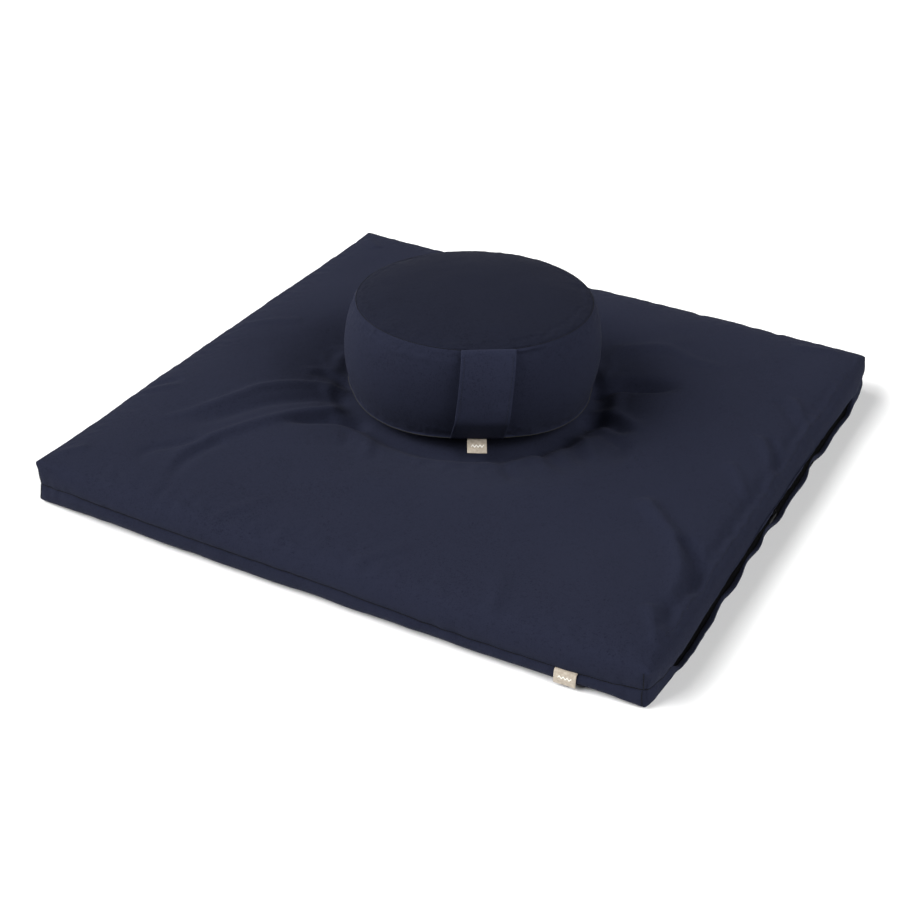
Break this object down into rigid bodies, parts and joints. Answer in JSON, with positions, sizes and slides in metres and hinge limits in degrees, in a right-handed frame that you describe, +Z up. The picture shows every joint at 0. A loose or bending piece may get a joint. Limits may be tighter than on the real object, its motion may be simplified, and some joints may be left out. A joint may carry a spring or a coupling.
{
  "type": "meditation cushion set",
  "caption": "Square padded floor mat with a zipped side and a round husk-filled sitting cushion with a strap handle resting in its middle.",
  "frame": {"origin": "on the floor under the middle of the square mat", "axes": "+Z up; -Y towards the side of the mat that carries the label; +X towards the side of the mat that carries the zip"},
  "size_m": [0.7971, 0.7964, 0.2054],
  "materials": {
    "canvas": "dark navy cotton canvas, plain weave, matt with a faint sheen at grazing angles",
    "lining_cotton": "unbleached thin cotton",
    "cotton_batting": "carded cotton wadding",
    "buckwheat_husk": "loose dry buckwheat husks",
    "zip_tape": "black woven polyester tape",
    "zip_teeth": "black nylon coil",
    "zip_metal": "black enamelled zinc",
    "label_tape": "beige woven satin tape"
  },
  "bodies": {
    "mat": {"mat_top_panel": "canvas", "mat_bottom_panel": "canvas", "mat_inner_case_top": "lining_cotton", "mat_inner_case_bottom": "lining_cotton", "mat_batting_layer_1": "cotton_batting", "mat_batting_layer_2": "cotton_batting", "mat_batting_layer_3": "cotton_batting", "mat_batting_layer_4": "cotton_batting", "mat_zip_tape_upper": "zip_tape", "mat_zip_tape_lower": "zip_tape", "mat_zip_teeth_upper": "zip_teeth", "mat_zip_teeth_lower": "zip_teeth", "mat_zip_stops": "zip_metal"},
    "mat_zip_slider": {"mat_zip_slider": "zip_metal"},
    "mat_zip_pull": {"mat_zip_pull": "zip_metal"},
    "mat_label": {"mat_label": "label_tape"},
    "round_cushion": {"cushion_top_panel": "canvas", "cushion_side_band": "canvas", "cushion_bottom_panel": "canvas", "cushion_inner_bag_top": "lining_cotton", "cushion_inner_bag_band": "lining_cotton", "cushion_inner_bag_bottom": "lining_cotton", "husk_fill": "buckwheat_husk", "cushion_zip_tape_upper": "zip_tape", "cushion_zip_tape_lower": "zip_tape", "cushion_zip_teeth_upper": "zip_teeth", "cushion_zip_teeth_lower": "zip_teeth", "cushion_zip_stops": "zip_metal", "handle_strap": "canvas", "cushion_label": "label_tape"},
    "cushion_zip_slider": {"cushion_zip_slider": "zip_metal"},
    "cushion_zip_pull": {"cushion_zip_pull": "zip_metal"}
  },
  "joints": [
    {"name": "mat_zip_slide", "type": "slide", "parent": "mat", "child": "mat_zip_slider", "axis": [0, 1, 0], "range_m": [-0.325, 0.322]},
    {"name": "mat_zip_pull_swing", "type": "hinge", "parent": "mat_zip_slider", "child": "mat_zip_pull", "pos_m": [0.3989, -0.007, 0.024], "axis": [0, 0, 1], "range_deg": [0, 175]},
    {"name": "mat_label_flap", "type": "hinge", "parent": "mat", "child": "mat_label", "pos_m": [0.304, -0.3991, 0.024], "axis": [-1, 0, 0], "range_deg": [0, 170]},
    {"name": "cushion_lift", "type": "slide", "parent": "mat", "child": "round_cushion", "axis": [0, 0, 1], "range_m": [0, 0.25]},
    {"name": "cushion_zip_slide", "type": "hinge", "parent": "round_cushion", "child": "cushion_zip_slider", "pos_m": [-0.022, 0.02, 0.0784], "axis": [0, 0, 1], "range_deg": [0, 142.3]},
    {"name": "cushion_zip_pull_swing", "type": "hinge", "parent": "cushion_zip_slider", "child": "cushion_zip_pull", "pos_m": [0.08391, 0.13966, 0.0784], "axis": [0, 0, -1], "range_deg": [0, 175]}
  ]
}
